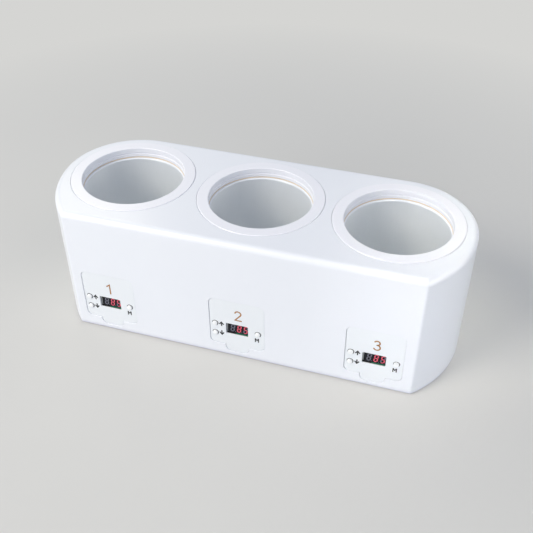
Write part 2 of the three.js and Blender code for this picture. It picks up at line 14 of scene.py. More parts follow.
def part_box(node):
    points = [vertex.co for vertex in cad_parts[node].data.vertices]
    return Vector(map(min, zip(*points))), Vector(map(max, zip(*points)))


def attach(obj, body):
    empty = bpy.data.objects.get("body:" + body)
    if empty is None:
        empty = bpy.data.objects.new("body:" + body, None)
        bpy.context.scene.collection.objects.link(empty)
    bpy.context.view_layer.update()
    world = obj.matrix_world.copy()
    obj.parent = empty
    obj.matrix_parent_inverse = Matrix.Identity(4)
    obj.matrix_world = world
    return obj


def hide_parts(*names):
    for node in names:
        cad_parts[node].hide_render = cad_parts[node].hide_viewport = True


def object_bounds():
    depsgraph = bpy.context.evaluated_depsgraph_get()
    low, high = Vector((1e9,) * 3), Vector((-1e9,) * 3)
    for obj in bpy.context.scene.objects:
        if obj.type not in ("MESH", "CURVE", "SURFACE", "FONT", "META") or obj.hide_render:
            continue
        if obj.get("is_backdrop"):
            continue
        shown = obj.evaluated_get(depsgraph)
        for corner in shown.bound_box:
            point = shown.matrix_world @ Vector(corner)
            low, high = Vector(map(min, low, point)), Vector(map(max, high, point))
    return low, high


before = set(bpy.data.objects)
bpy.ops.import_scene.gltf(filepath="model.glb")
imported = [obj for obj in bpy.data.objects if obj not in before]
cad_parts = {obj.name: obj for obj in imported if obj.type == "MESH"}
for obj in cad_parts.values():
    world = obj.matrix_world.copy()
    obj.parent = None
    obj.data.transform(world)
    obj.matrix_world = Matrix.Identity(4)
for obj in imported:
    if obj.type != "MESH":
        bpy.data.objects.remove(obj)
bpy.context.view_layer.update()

MM = 0.001

# Stations, with the places of their wells and panels taken from the CAD model
SIDES = ("left", "middle", "right")
USES = ("up", "down", "mode")
CORNERS = ("front_left", "rear_left", "front_right", "rear_right")


def centre_of(node):
    """The middle of a CAD node's box, in millimetres."""
    low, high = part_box(node)
    return (low + high) / (2 * MM)


WELLS = {side: centre_of(f"{side}_collar") for side in SIDES}
PANELS = {side: centre_of(f"{side}_panel_plate").x for side in SIDES}
WELL_LINE = WELLS["middle"].y
END_X = WELLS["right"].x

# Housing
FRONT_REACH = 83.4
BACK_RADIUS = 77.1
FLANK_RADIUS = 114.5
CORNER_RADIUS = 4
LEAST_RADIUS = 0.8
HOUSING_BASE = 1.5
HOUSING_TOP = 148.1
TOP_FILLET = 6.5
SKIRT_BASE = 0.4
SKIRT_ROUND = 3
WALL = 3.5
TOP_WALL = 3.2
EDGE_ROUND = 0.35
BACK_ROUND = 0.15
LEAST_ROUND = 0.04
OVERRUN = 1
FRONT = WELL_LINE - FRONT_REACH
REAR = WELL_LINE + BACK_RADIUS

# Inside the housing: posts for the boards, in depths behind the front face, and bosses for the screws
BOARD_POST_X = 23.9
BOARD_POSTS_Z = (19.6, 54.4)
BOARD_POST_RADIUS = 2.6
BOARD_POST_FRONT = 2.7
BOARD_POST_BACK = 10
BOARD_PIN_RADIUS = 1.2
BOARD_CAP_RADIUS = 2.1
BOARD_CAP_FRONT = 12
BOARD_CAP_BACK = 13
BOSS_RADIUS = 6
BOSS_LOW = 4.7
BOSS_HIGH = 34.5
BOSS_BORE = 1.6
BOSS_BORE_TOP = 18.5

# Wells, from the collar at the top down to the pot
COLLAR_TOP = 148.7
COLLAR_UNDER = 146.9
COLLAR_BOTTOM = 138.1
COLLAR_RADIUS = 65
COLLAR_TUBE = 56.5
COLLAR_BORE = 53.3
COLLAR_RIM = 0.8
COLLAR_MOUTH = 0.8
COLLAR_FOOT_INNER = 0.4
COLLAR_FOOT_OUTER = 0.3
COLLAR_LIP_ROUND = 0.2
GROOVE_Z = 142.2
GROOVE_HALF = 0.7
GROOVE_DEPTH = 1
GROOVE_ROUND = 0.1
REBATE_RADIUS = 65.3
REBATE_FLOOR = 146.7
LINING_BORE = 56.8
LINING_RADIUS = 59.2
LEDGE_RADIUS = 51.8
LEDGE_TOP = 136.9
LEDGE_BOTTOM = 135.3
LEDGE_ROUND = 1.3
GASKET_BORE = 52.9
GASKET_TOP = 137.9
GASKET_BOTTOM = 137.1
GASKET_INNER = 0.35
GASKET_OUTER = 0.1
POT_TOP = 135.1
POT_BORE = 52.2
POT_RADIUS = 53.8
POT_FLANGE = 57
POT_LIP = 1.6
POT_FLOOR = 31
POT_BOTTOM = 29
POT_BEND = 8
POT_NECK_ROUND = 0.3
POT_FLANGE_ROUND = 0.4
POT_MOUTH_ROUND = 0.6

# Panels: heights above the ground and depths behind the housing's front face
PLATE_WIDTH = 58
PLATE_BOTTOM = 16
PLATE_TOP = 76
PLATE_CORNER = 6
PLATE_FRONT = 0.6
PLATE_BACK = 2
TAB_WIDTH = 25
TAB_DROP = 8.5
TAB_CORNER = 6.5
POCKET_DEPTH = 2.2
POCKET_GAP = 0.3
WINDOW_WIDTH = 23.6
WINDOW_LOW = 31.2
WINDOW_HIGH = 45.4
WINDOW_CORNER = 1.2
RIM_WIDTH = 1.2
RIM_DROP = 0.9
RIM_GAP = 0.05
BUTTON_RADIUS = 2.7
BUTTON_HOLE = 3.4
HOLE_OFFSET = Vector((0.2, 0.05))
BUTTON_FRONT = -0.8
BUTTON_BACK = 5.8
BUTTON_DOME = 0.5
BUTTON_FLANGE = 4
FLANGE_FRONT = 2.2
FLANGE_BACK = 3.2
# A dark ring in the gap around each button: painted shade for the gap's shadow
SHADE_RING_FRONT = 0.75
SHADE_RING_BACK = 1.6
SHADE_RING_GAP = 0.05
SHADE_RING_ROUND = 0.1
OPENING_HALF = 27.9
OPENING_LOW = 24.3
OPENING_HIGH = 50.8

# Displays: a case with a dark face, and a pin header and a carrier below it
DISPLAY_FRONT = 2.8
DISPLAY_BACK = 10
DISPLAY_HALF = 11.6
DISPLAY_LOW = 32.3
DISPLAY_HIGH = 46.5
DISPLAY_EDGE = 0.12
DISPLAY_BACK_EDGE = 0.1
CASE_SETBACK = 0.15
CASE_CORNER = 0.5
FACE_REACH = 10.5
FACE_CORNER = 0.3
FACE_OVERLAP = 0.2
HEADER_LOW = 29.5
HEADER_REACH = -2.5
HEADER_DROP = 0.2
HEADER_FRONT = 3.4
HEADER_CORNER = 0.3
CARRIER_START = -2.3
CARRIER_DROP = 0.1
CARRIER_FRONT = 3
CARRIER_BACK = 4.6
CARRIER_CORNER = 0.2

# Marks on the panels and the bars of the digits
INK_PROUD = 0.05
INK_SUNK = 0.02
ARROW_X = -16.5
ARROW_UP_Z = 42.9
ARROW_DOWN_Z = 30.4
LETTER_X = 21.3
LETTER_Z = 29.9
NUMERAL_X = 1.5
NUMERAL_Z = 58
NUMERAL_HALF = 0.75
DIGIT_PLACES = (-5.1, 1.8, 8.7)
DIGIT_Z = 38.4
DIGIT_HALF = 1.6
DIGIT_RISE = 4.45
DIGIT_LEAN = math.tan(math.radians(8))
BAR_HALF = 0.62
BAR_GAP = 0.16
BAR_PROUD = 0.04
BAR_SUNK = 0.1
DOT_X = 2.6
DOT_RADIUS = 0.45

# Underside
BASE_INSET = 3.8
BASE_TOP = 4.5
BASE_LOW_EDGE = 0.3
BASE_HIGH_EDGE = 0.4
VENT_ROWS = (-2, -1, 0, 1, 2)
VENT_PITCH = 7
VENT_HALF_LENGTH = 20
VENT_HALF_WIDTH = 1.6
VENT_ROUND = 1.55
SUPPORT_CIRCLE = 41.3
SUPPORT_RADIUS = 4.5
SUPPORT_TOP = 28.8
SUPPORT_ROOT = 0.3
FOOT_RECESS = 1.2
FOOT_RADIUS = 8
FOOT_GAP = 0.3
FOOT_TOP = 2.5
FOOT_TOP_ROUND = 0.3
FOOT_LOW_ROUND = 0.8
FOOT_DISH = 0.3
FOOT_DISH_RADIUS = 4.4
FOOT_RING_RADIUS = 4.8
FOOT_DISH_ROUND = 0.2
SCREW_HOLE = 1.6
SCREW_SEAT_RADIUS = 3.3
SCREW_SEAT_LOW = 0.5
SCREW_SEAT_TOP = 3.5
SCREW_HEAD_RADIUS = 3
SCREW_HEAD_LOW = 1.5
SCREW_HEAD_ROUND = 0.5
SCREW_HEAD_SIDE = 2.4
SCREW_HEAD_TOP = 3.3
SCREW_RADIUS = 1.3
SCREW_POINT = 16.2
SCREW_END = 17.5
CROSS_HALF = 1.5
CROSS_THIN_HALF = 0.28
CROSS_LOW = 0.5
CROSS_HIGH = 2.5

# Mains inlet: depths from its rear face, half widths and half heights
INLET_X = centre_of("earth_blade").x
INLET_Z = 34
INLET_REAR = REAR + 2
INLET_LOW_X, INLET_HIGH_X = 56, 84
INLET_LOW_Z, INLET_HIGH_Z = 23.9, 44.1
INLET_FLANGE_HALF = 15.5
INLET_FLANGE_TALL = 11.6
INLET_FLANGE_CORNER = 2.4
INLET_FLANGE_DEPTH = 1.8
INLET_FLANGE_EDGE = 0.5
INLET_FLANGE_BACK_EDGE = 0.1
INLET_BODY_HALF = 13.7
INLET_BODY_TALL = 9.8
INLET_BODY_CORNER = 0.8
INLET_BODY_FRONT = 1.5
INLET_BODY_DEPTH = 18
CAVITY_HALF = 12.2
CAVITY_TALL = 8.3
CAVITY_CORNER = 0.6
CAVITY_DEPTH = 15
CAVITY_EDGE = 0.4
KEY_CUT = 4
KEY_ROUND = 0.4
BLADE_HALF = 1
BLADE_TALL = 2
BLADE_CORNER = 0.2
BLADE_FRONT = 5.5
BLADE_BACK = 24
BLADE_TIP = 0.6
BLADE_BACK_EDGE = 0.3

# How finely curves are drawn
TURN_STEPS = 144
WIDE_STEPS = 96
BUTTON_STEPS = 64
ROUND_STEPS = 48
BORE_STEPS = 32
SMALL_STEPS = 24
NUMERAL_STEPS = 20
DOT_STEPS = 16
FILLET_STEPS = 12
DOME_STEPS = 10
ARC_STEPS = 8
FINE_STEPS = 4

# Points closer than this, in metres, are one point
MERGE_DISTANCE = 1e-7
LEAST_MITRE = 0.5

# Edges that turn by more than this, in degrees, are drawn sharp
SMOOTH_ANGLE = 40
SHELL_ANGLE = 35
BASE_ANGLE = 30
FACE_WEIGHT = 100


# Curves and outlines


def arc(x, y, radius, start, end, steps):
    """Points of an arc about (x, y), both ends included, with its angles in degrees."""
    points = []
    for i in range(steps + 1):
        turn = math.radians(start + (end - start) * i / steps)
        points.append((x + radius * math.cos(turn), y + radius * math.sin(turn)))
    return points


def rounded(corners, closed=True, steps=ARC_STEPS):
    """A path through (x, y, radius) corners, with each corner rounded to its radius."""
    path = []
    count = len(corners)
    for i, (x, y, radius) in enumerate(corners):
        here = Vector((x, y))
        if radius <= 0 or (not closed and i in (0, count - 1)):
            path.append((x, y))
            continue
        before = (Vector(corners[i - 1][:2]) - here).normalized()
        after = (Vector(corners[(i + 1) % count][:2]) - here).normalized()
        half = before.angle(after) / 2
        reach = radius / math.tan(half)
        middle = here + (before + after).normalized() * radius / math.sin(half)
        first = here + before * reach - middle
        last = here + after * reach - middle
        sweep = first.angle_signed(last)
        for step in range(steps + 1):
            path.append(tuple(middle + Matrix.Rotation(-sweep * step / steps, 2) @ first))
    return path


def circle(x, y, radius, steps=ROUND_STEPS):
    return arc(x, y, radius, 0, 360 * (steps - 1) / steps, steps - 1)


def plan(inset, steps=ROUND_STEPS):
    """The housing's outline seen from above, moved inwards by inset, anticlockwise."""
    corner = max(CORNER_RADIUS - inset, LEAST_RADIUS)
    flank_x = END_X + BACK_RADIUS - FLANK_RADIUS
    corner_y = corner + inset - FRONT_REACH
    corner_x = flank_x + math.sqrt((FLANK_RADIUS - inset - corner) ** 2 - corner_y**2)
    meeting = math.degrees(math.atan2(corner_y, corner_x - flank_x))
    right = arc(corner_x, corner_y, corner, -90, meeting, ARC_STEPS)
    right += arc(flank_x, 0, FLANK_RADIUS - inset, meeting, 0, steps // 3)[1:]
    right += arc(END_X, 0, BACK_RADIUS - inset, 0, 90, steps)[1:]
    left = [(-x, y) for x, y in reversed(right)]
    return [(x, y + WELL_LINE) for x, y in right + left]


def plate_outline(grow):
    """The panel plate's front view about its middle, as (x, z), with its edge moved outwards by grow."""
    half = PLATE_WIDTH / 2 + grow
    low = PLATE_BOTTOM - grow
    corner = PLATE_CORNER + grow
    tab = TAB_WIDTH / 2 + grow
    tab_low = PLATE_BOTTOM - TAB_DROP - grow
    tab_round = TAB_CORNER + grow
    high = PLATE_TOP + grow
    return rounded(
        [
            (tab, low, 0),
            (half, low, corner),
            (half, high, corner),
            (-half, high, corner),
            (-half, low, corner),
            (-tab, low, 0),
            (-tab, tab_low, tab_round),
            (tab, tab_low, tab_round),
        ]
    )


def box_outline(x_low, x_high, z_low, z_high, radius, grow=0.0, steps=FINE_STEPS):
    if radius > 0:
        radius = max(radius + grow, LEAST_ROUND)
    return rounded(
        [
            (x_high + grow, z_low - grow, radius),
            (x_high + grow, z_high + grow, radius),
            (x_low - grow, z_high + grow, radius),
            (x_low - grow, z_low - grow, radius),
        ],
        steps=steps,
    )


def stroke(path, half, steps=ARC_STEPS):
    """The outline of a line of one width along a path, with round ends."""
    points = [Vector(p) for p in path]
    left, right = [], []
    for i, point in enumerate(points):
        before = (point - points[i - 1]).normalized() if i else None
        after = (points[i + 1] - point).normalized() if i + 1 < len(points) else None
        along = ((before or after) + (after or before)).normalized()
        across = Vector((-along.y, along.x))
        lean = 1.0
        if before and after:
            lean = 1 / max(across.dot(Vector((-after.y, after.x))), LEAST_MITRE)
        left.append(point + across * half * lean)
        right.append(point - across * half * lean)

    def cap(point, heading):
        start = math.degrees(math.atan2(heading.y, heading.x)) - 90
        return [Vector(p) for p in arc(point.x, point.y, half, start, start + 180, steps)][1:-1]

    end = cap(points[-1], points[-1] - points[-2])
    start = cap(points[0], points[0] - points[1])
    return [tuple(p) for p in right + end + left[::-1] + start]


# Meshes


def mesh_piece(name, points, faces):
    """A new object from points in millimetres, with its faces turned outwards."""
    mesh = bpy.data.meshes.new(name)
    mesh.from_pydata([Vector(p) * MM for p in points], [], faces)
    work = bmesh.new()
    work.from_mesh(mesh)
    bmesh.ops.remove_doubles(work, verts=work.verts, dist=MERGE_DISTANCE)
    bmesh.ops.recalc_face_normals(work, faces=work.faces)
    work.to_mesh(mesh)
    work.free()
    piece = bpy.data.objects.new(name, mesh)
    bpy.context.scene.collection.objects.link(piece)
    return piece


def strip(rings, count, start=0, wrap=False):
    """Faces between neighbouring rings of count points each."""
    faces = []
    for ring in range(rings if wrap else rings - 1):
        here = start + ring * count
        above = start + ((ring + 1) % rings) * count
        for i in range(count):
            j = (i + 1) % count
            faces.append((here + i, here + j, above + j, above + i))
    return faces


def turned(name, profile, place, along="z", steps=TURN_STEPS):
    """A piece turned about an axis through place. The profile is (radius, height) pairs."""
    points, faces = [], []
    closed = profile[0][0] > 0
    for radius, height in profile:
        for i in range(steps):
            turn = 2 * math.pi * i / steps
            x, y = radius * math.cos(turn), radius * math.sin(turn)
            if along == "z":
                points.append((place[0] + x, place[1] + y, height))
            else:
                points.append((place[0] + x, height, place[1] + y))
    faces = strip(len(profile), steps, wrap=closed)
    return mesh_piece(name, points, faces)


def layered(loops, sections, lift, caps=(True, True)):
    """Points and faces of a solid whose outline and holes change with depth.

    loops gives, for each ring, a function from how far it is cut into the material to its points.
    sections are (depth, cut) pairs, and lift turns (u, v, depth) into a point.
    """
    points, faces = [], []
    for loop in loops:
        start = len(points)
        count = len(loop(0))
        for depth, cut in sections:
            points += [lift(u, v, depth) for u, v in loop(cut)]
        faces += strip(len(sections), count, start)
    for (depth, cut), wanted in zip((sections[0], sections[-1]), caps):
        if not wanted:
            continue
        rings = [[Vector((u, v, 0)) for u, v in loop(cut)] for loop in loops]
        start = len(points)
        points += [lift(p.x, p.y, depth) for ring in rings for p in ring]
        faces += [tuple(start + i for i in face) for face in tessellate_polygon(rings)]
    return points, faces


def to_front(x):
    """Turns a panel's (x, z, depth) about its middle into a point of the model."""
    return lambda u, v, depth: (x + u, FRONT + depth, v)


def to_ground(u, v, height):
    return (u, v, height)


def near_edge(level, radius, steps=FINE_STEPS):
    """(depth, cut) pairs that round the edge where a solid begins."""
    turns = [math.pi / 2 * i / steps for i in range(steps + 1)]
    return [(level + radius * (1 - math.cos(t)), radius * (1 - math.sin(t))) for t in turns]


def far_edge(level, radius, steps=FINE_STEPS):
    """(depth, cut) pairs that round the edge where a solid ends."""
    turns = [math.pi / 2 * i / steps for i in range(steps + 1)]
    return [(level - radius * (1 - math.sin(t)), radius * (1 - math.cos(t))) for t in turns]


def sheet(name, loops, front, back, lift, front_round=EDGE_ROUND, back_round=BACK_ROUND):
    """A plate with the edges of both its faces rounded."""
    sections = near_edge(front, front_round) + far_edge(back, back_round)
    return mesh_piece(name, *layered(loops, sections, lift))


def prism(name, outlines, front, back, lift):
    """One piece from several plain outlines between two depths."""
    points, faces = [], []
    for outline in outlines:
        more, sides = layered([lambda cut, o=outline: o], [(front, 0), (back, 0)], lift)
        faces += [tuple(len(points) + i for i in face) for face in sides]
        points += more
    return mesh_piece(name, points, faces)


def discard(piece):
    mesh = piece.data
    bpy.data.objects.remove(piece)
    bpy.data.meshes.remove(mesh)


def join_pieces(target, others):
    """Adds the meshes of other pieces to one piece."""
    work = bmesh.new()
    work.from_mesh(target.data)
    for other in others:
        work.from_mesh(other.data)
        discard(other)
    work.to_mesh(target.data)
    work.free()


def carve(target, cutters, operation="DIFFERENCE"):
    """Cuts other pieces from one, or adds them to it, and removes them."""
    for cutter in cutters:
        step = target.modifiers.new("carve", "BOOLEAN")
        step.operation = operation
        step.solver = "EXACT"
        step.object = cutter
    bpy.context.view_layer.update()
    graph = bpy.context.evaluated_depsgraph_get()
    mesh = bpy.data.meshes.new_from_object(target.evaluated_get(graph))
    target.modifiers.clear()
    old = target.data
    target.data = mesh
    bpy.data.meshes.remove(old)
    for cutter in cutters:
        discard(cutter)


def shade(piece, angle):
    """Smooth shading with sharp edges kept, led by the large faces."""
    for polygon in piece.data.polygons:
        polygon.use_smooth = True
    piece.data.set_sharp_from_angle(angle=math.radians(angle))
    step = piece.modifiers.new("normals", "WEIGHTED_NORMAL")
    step.keep_sharp = True
    step.weight = FACE_WEIGHT


def paint(piece, material):
    piece.data.materials.clear()
    piece.data.materials.append(material)


def dress(piece, material, body="heater", nodes=(), angle=SMOOTH_ANGLE):
    """Gives a finished mesh its shading, material, body and the CAD nodes that it stands for."""
    shade(piece, angle)
    paint(piece, material)
    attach(piece, body)
    if nodes:
        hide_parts(*nodes)
    return piece


# Materials


class Nodes:
    """A material's node tree, with short calls for the nodes used here."""

    def __init__(self, name):
        self.material = bpy.data.materials.new(name)
        self.material.use_nodes = True
        self.tree = self.material.node_tree
        self.shader = self.tree.nodes["Principled BSDF"]
        self.place = self.tree.nodes.new("ShaderNodeTexCoord").outputs["Object"]

    def feed(self, socket, value):
        """Links a socket to another one, or gives it a value."""
        if isinstance(value, bpy.types.NodeSocket):
            self.tree.links.new(value, socket)
        else:
            socket.default_value = value

    def node(self, kind, settings=None, **inputs):
        made = self.tree.nodes.new(kind)
        for key, value in (settings or {}).items():
            setattr(made, key, value)
        for key, value in inputs.items():
            self.feed(made.inputs[key.replace("_", " ")], value)
        return made

    def put(self, value, socket):
        """Feeds one of the shader's own sockets."""
        self.feed(self.shader.inputs[socket], value)

    def calculate(self, operation, first, second):
        made = self.node("ShaderNodeMath", {"operation": operation})
        self.feed(made.inputs[0], first)
        self.feed(made.inputs[1], second)
        return made.outputs[0]

    def stretched(self, scale):
        """Object coordinates scaled per axis."""
        return self.node("ShaderNodeMapping", Vector=self.place, Scale=scale).outputs["Vector"]

    def noise(self, scale, detail=3.0, roughness=0.5, place=None):
        place = place or self.place
        made = self.node(
            "ShaderNodeTexNoise", Vector=place, Scale=scale, Detail=detail, Roughness=roughness
        )
        return made.outputs["Fac"]

    def between(self, value, low, high, start=0.3, end=0.7):
        """Maps a value from start..end to low..high."""
        settings = {"From Min": start, "From Max": end, "To Min": low, "To Max": high}
        made = self.node("ShaderNodeMapRange", Value=value)
        for key, number in settings.items():
            made.inputs[key].default_value = number
        return made.outputs["Result"]

    def ramp(self, value, stops):
        made = self.node("ShaderNodeValToRGB", Fac=value)
        elements = made.color_ramp.elements
        while len(elements) < len(stops):
            elements.new(0.5)
        for element, (at, colour) in zip(elements, stops):
            element.position = at
            element.color = (*colour, 1)
        return made.outputs["Color"]

    def bump(self, height, strength, distance, before=None):
        made = self.node("ShaderNodeBump", Height=height, Strength=strength, Distance=distance)
        if before:
            self.feed(made.inputs["Normal"], before)
        return made.outputs["Normal"]


def tint(colour, share):
    return tuple(min(1, max(0, c * share)) for c in colour)


def srgb(red, green, blue):
    """A colour written as it is seen, from 0 to 255, as linear light."""

    def linear(level):
        level /= 255
        return level / 12.92 if level <= 0.04045 else ((level + 0.055) / 1.055) ** 2.4

    return tuple(linear(level) for level in (red, green, blue))


# Scales of the textures, in waves per metre, and heights of their bumps, in metres
FLOW_SCALE, GLOSS_SCALE, SKIN_HEIGHT = 9, 20, 0.000008
CLOUD_SCALE, STREAK_SCALE, STREAK_HEIGHT = 22, 60, 0.00003
INK_SCALE, INK_GLOSS_SCALE, INK_HEIGHT = 900, 1400, 0.00002
EPOXY_SCALE, EPOXY_GLOSS_SCALE = 1300, 700
TRACK_SCALE, TRACK_OFFSET, TRACK_HEIGHT, MASK_GLOSS_SCALE = 160.0, 0.35, 0.00004, 200
GLASS_SCALE, GLASS_HEIGHT = 900.0, 0.00003
CLOTH_SCALE, CLOTH_HEIGHT, MAT_GLOSS_SCALE = 700.0, 0.0001, 60
DUST_SCALE, RUBBER_SCALE, RUBBER_HEIGHT = 140, 1500, 0.00006
FIBRE_SCALE = 7
FLOW_MARKS = 0.006
COAT_ROUGHNESS = 0.12
# How far up from the skirt's base the painted shade at the lower edge reaches, in millimetres, and how
# sharply it fades
PAINTED_SHADE_REACH = 8
PAINTED_SHADE_FADE = 2.5


def moulded(name, colour, rough=(0.29, 0.36), grain=0.35, grain_scale=1100, coat=0.0, shine=0.5, low=None):
    """Moulded plastic: a fine skin texture, slow flow marks and a little change of gloss.

    low is a painted shade: the colour that it takes towards its lowest edge, where the rounded skirt turns
    down into shade.
    """
    m = Nodes(name)
    flow = m.noise(FLOW_SCALE, 4, 0.55)
    shown = m.ramp(flow, [(0.3, tint(colour, 1 - FLOW_MARKS)), (0.7, tint(colour, 1 + FLOW_MARKS))])
    # Painted shade: the colour turns darker and lavender towards the lowest edge, where the rounding faces
    # the floor
    if low:
        height = m.node("ShaderNodeSeparateXYZ", Vector=m.place).outputs["Z"]
        shade_nearness = m.between(height, 1, 0, SKIRT_BASE * MM, (SKIRT_BASE + PAINTED_SHADE_REACH) * MM)
        share = m.calculate("POWER", shade_nearness, PAINTED_SHADE_FADE)
        mixed = m.node("ShaderNodeMixRGB", Fac=share, Color1=shown, Color2=(*low, 1))
        shown = mixed.outputs["Color"]
    m.put(shown, "Base Color")
    m.put(m.between(m.noise(GLOSS_SCALE, 2, 0.5), *rough), "Roughness")
    m.put(m.bump(m.noise(grain_scale, 2, 0.5), grain, SKIN_HEIGHT), "Normal")
    m.put(shine, "Specular IOR Level")
    m.put(coat, "Coat Weight")
    m.put(COAT_ROUGHNESS, "Coat Roughness")
    return m.material


def brushed(name, colour, rough, streaks, metallic=1.0, contrast=0.09, depth=STREAK_HEIGHT):
    """Metal with streaks stretched along one axis, cloudy gloss and faint tarnish."""
    m = Nodes(name)
    place = m.stretched(streaks)
    lines = m.noise(STREAK_SCALE, 6, 0.7, place)
    cloud = m.noise(CLOUD_SCALE, 3, 0.5)
    mixed = m.calculate("MULTIPLY", lines, cloud)
    stops = [(0.12, tint(colour, 1 - contrast)), (0.38, tint(colour, 1 + contrast / 2))]
    m.put(m.ramp(mixed, stops), "Base Color")
    m.put(m.between(lines, *rough), "Roughness")
    m.put(m.bump(lines, 0.3, depth), "Normal")
    m.put(metallic, "Metallic")
    return m.material


def printed(name, colour, metallic=0.0, rough=(0.4, 0.6)):
    """Printed or hot-stamped ink, slightly uneven."""
    m = Nodes(name)
    patch = m.noise(INK_SCALE, 3, 0.6)
    m.put(m.ramp(patch, [(0.3, tint(colour, 0.9)), (0.7, tint(colour, 1.08))]), "Base Color")
    m.put(m.between(m.noise(INK_GLOSS_SCALE, 2), *rough), "Roughness")
    m.put(m.bump(patch, 0.2, INK_HEIGHT), "Normal")
    m.put(metallic, "Metallic")
    return m.material


def segment(name, colour, glow=0.0):
    """A display's segment: cloudy epoxy, lit from behind or dark."""
    m = Nodes(name)
    cloud = m.noise(EPOXY_SCALE, 3, 0.6)
    shown = m.ramp(cloud, [(0.25, tint(colour, 0.85)), (0.75, tint(colour, 1.1))])
    m.put(shown, "Base Color")
    m.put(m.between(m.noise(EPOXY_GLOSS_SCALE, 2), 0.3, 0.45), "Roughness")
    if glow:
        m.put(shown, "Emission Color")
        m.put(glow, "Emission Strength")
    return m.material


def circuit(name):
    """A green circuit board: solder mask over copper tracks, with a fine glass weave."""
    m = Nodes(name)
    upright = m.node("ShaderNodeMapping", Vector=m.place, Rotation=(math.pi / 2, 0, 0))
    tracks = m.node(
        "ShaderNodeTexBrick",
        {"offset": TRACK_OFFSET},
        Vector=upright.outputs["Vector"],
        Scale=TRACK_SCALE,
        Mortar_Size=0.1,
        Color1=(*srgb(8, 84, 66), 1),
        Color2=(*srgb(12, 90, 70), 1),
        Mortar=(*srgb(28, 112, 84), 1),
    )
    m.put(tracks.outputs["Color"], "Base Color")
    m.put(m.between(m.noise(MASK_GLOSS_SCALE, 3), 0.3, 0.42), "Roughness")
    weave = m.node("ShaderNodeTexWave", Vector=m.place, Scale=GLASS_SCALE, Distortion=1.0)
    weave_bump = m.bump(weave.outputs["Fac"], 0.2, GLASS_HEIGHT)
    m.put(m.bump(tracks.outputs["Fac"], 0.3, TRACK_HEIGHT, weave_bump), "Normal")
    return m.material


def silicone_mat(name):
    """A heating mat: red-brown silicone rubber pressed on a woven cloth."""
    m = Nodes(name)
    weave = m.node(
        "ShaderNodeTexChecker",
        Vector=m.place,
        Scale=CLOTH_SCALE,
        Color1=(*srgb(176, 78, 50), 1),
        Color2=(*srgb(160, 66, 42), 1),
    )
    m.put(weave.outputs["Color"], "Base Color")
    m.put(m.between(m.noise(MAT_GLOSS_SCALE, 4), 0.55, 0.75), "Roughness")
    m.put(m.bump(weave.outputs["Fac"], 0.3, CLOTH_HEIGHT), "Normal")
    return m.material


def rubber(name, colour, dusty=1.8):
    m = Nodes(name)
    dust = m.noise(DUST_SCALE, 5, 0.65)
    m.put(m.ramp(dust, [(0.35, colour), (0.75, tint(colour, dusty))]), "Base Color")
    m.put(m.between(dust, 0.7, 0.9), "Roughness")
    m.put(m.bump(m.noise(RUBBER_SCALE, 2), 0.5, RUBBER_HEIGHT), "Normal")
    return m.material


HOUSING_WHITE = srgb(238, 242, 250)
PANEL_WHITE = srgb(236, 241, 247)
# Painted shade for the housing's lower edge, where the rounding turns down into shade
PAINTED_SHADE_WHITE = srgb(176, 178, 206)

housing_white = moulded(
    "housing_white", HOUSING_WHITE, rough=(0.29, 0.34), grain=0.25, coat=0.25, low=PAINTED_SHADE_WHITE
)
collar_white = moulded("collar_white", srgb(243, 245, 253), rough=(0.29, 0.34), grain=0.2, coat=0.25)
panel_white = moulded("panel_white", PANEL_WHITE, rough=(0.32, 0.44), grain=0.5, grain_scale=1600)
button_white = moulded("button_white", srgb(248, 251, 254), rough=(0.29, 0.36), grain=0.15)
# Painted shade: the dark ring that darkens the gap around each button
painted_shade_dark = moulded("painted_shade_dark", srgb(30, 30, 34), rough=(0.5, 0.6), grain=0.2)
base_white = moulded("base_white", srgb(226, 227, 234), rough=(0.42, 0.58), grain=0.9, grain_scale=900)
case_grey = moulded("case_grey", srgb(188, 192, 190), rough=(0.4, 0.5), grain=0.3)
face_black = moulded("face_black", srgb(12, 16, 24), rough=(0.3, 0.36), grain=0.1, shine=0.2)
header_black = moulded("header_black", srgb(20, 21, 24), rough=(0.4, 0.55), grain=0.4)
inlet_black = moulded("inlet_black", srgb(26, 27, 30), rough=(0.35, 0.5), grain=0.8, grain_scale=1500)
relay_blue = moulded("relay_blue", srgb(40, 88, 170), rough=(0.35, 0.45), grain=0.3)
cable_grey = moulded("cable_grey", srgb(46, 47, 52), rough=(0.45, 0.6), grain=0.4)
gasket_tan = rubber("gasket_tan", srgb(226, 212, 194), dusty=1.05)
foot_rubber = rubber("foot_rubber", srgb(34, 34, 38))
pot_metal = brushed(
    "pot_metal", srgb(234, 238, 242), (0.44, 0.5), (14, 14, 0.6), metallic=0.4, contrast=0.02, depth=0.000008
)
screw_metal = brushed("screw_metal", srgb(150, 152, 156), (0.29, 0.42), (40, 40, 4))
sensor_metal = brushed("sensor_metal", srgb(200, 200, 198), (0.29, 0.42), (4, 4, 30))
blade_metal = brushed("blade_metal", srgb(206, 202, 190), (0.29, 0.4), (6, 40, 6))
ink_dark = printed("ink_dark", srgb(38, 40, 44))
ink_bronze = printed("ink_bronze", srgb(172, 122, 74), metallic=0.3, rough=(0.35, 0.5))
segment_dark = segment("segment_dark", srgb(104, 104, 120))
segment_lit = segment("segment_lit", srgb(206, 80, 100), glow=0.22)
board_green = circuit("board_green")
band_red = silicone_mat("band_red")


# Housing


def plan_block(name, inset, low, high, low_round, top_fillet):
    """A block of the housing's outline, with its lower and upper edges rounded."""
    sections = near_edge(low, low_round) if low_round else [(low, 0)]
    sections += far_edge(high, top_fillet, FILLET_STEPS)
    return mesh_piece(name, *layered([lambda cut: plan(inset + cut)], sections, to_ground))


def post(name, x, y, low, high, radius, steps=ROUND_STEPS):
    return turned(name, [(0, low), (radius, low), (radius, high), (0, high)], (x, y), steps=steps)


def block(name, x_low, x_high, y_low, y_high, z_low, z_high):
    outline = box_outline(x_low, x_high, y_low, y_high, 0)
    return prism(name, [outline], z_low, z_high, to_ground)


